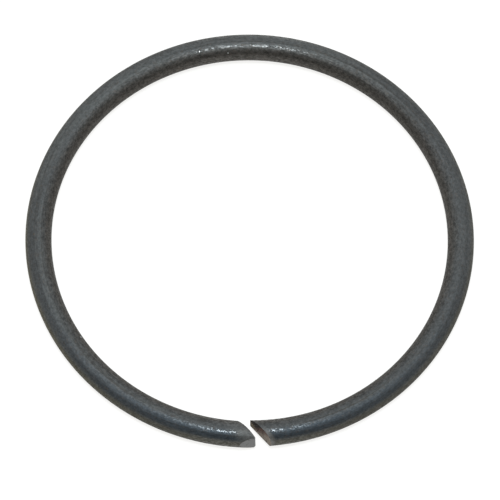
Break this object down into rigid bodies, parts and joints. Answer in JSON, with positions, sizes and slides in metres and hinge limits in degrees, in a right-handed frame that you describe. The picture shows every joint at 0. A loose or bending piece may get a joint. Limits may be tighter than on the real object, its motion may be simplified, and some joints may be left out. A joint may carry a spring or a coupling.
{
  "type": "round-wire retaining ring",
  "caption": "Split ring of round spring wire with slanted, almost meeting ends, which snaps into a round-bottomed groove of a shaft and keeps parts from sliding along it.",
  "frame": {"origin": "centre of the ring at mid-height of the wire, which is the middle of the shaft groove", "axes": "+Z along the ring's axis, away from the side that the ring lies on; the gap between the ends is on -Y; +X completes the right-handed frame"},
  "size_m": [0.0428, 0.0428, 0.0024],
  "materials": {
    "phosphated_spring_steel": "satin"
  },
  "bodies": {
    "root": {"retaining_ring": "phosphated_spring_steel"}
  },
  "joints": []
}
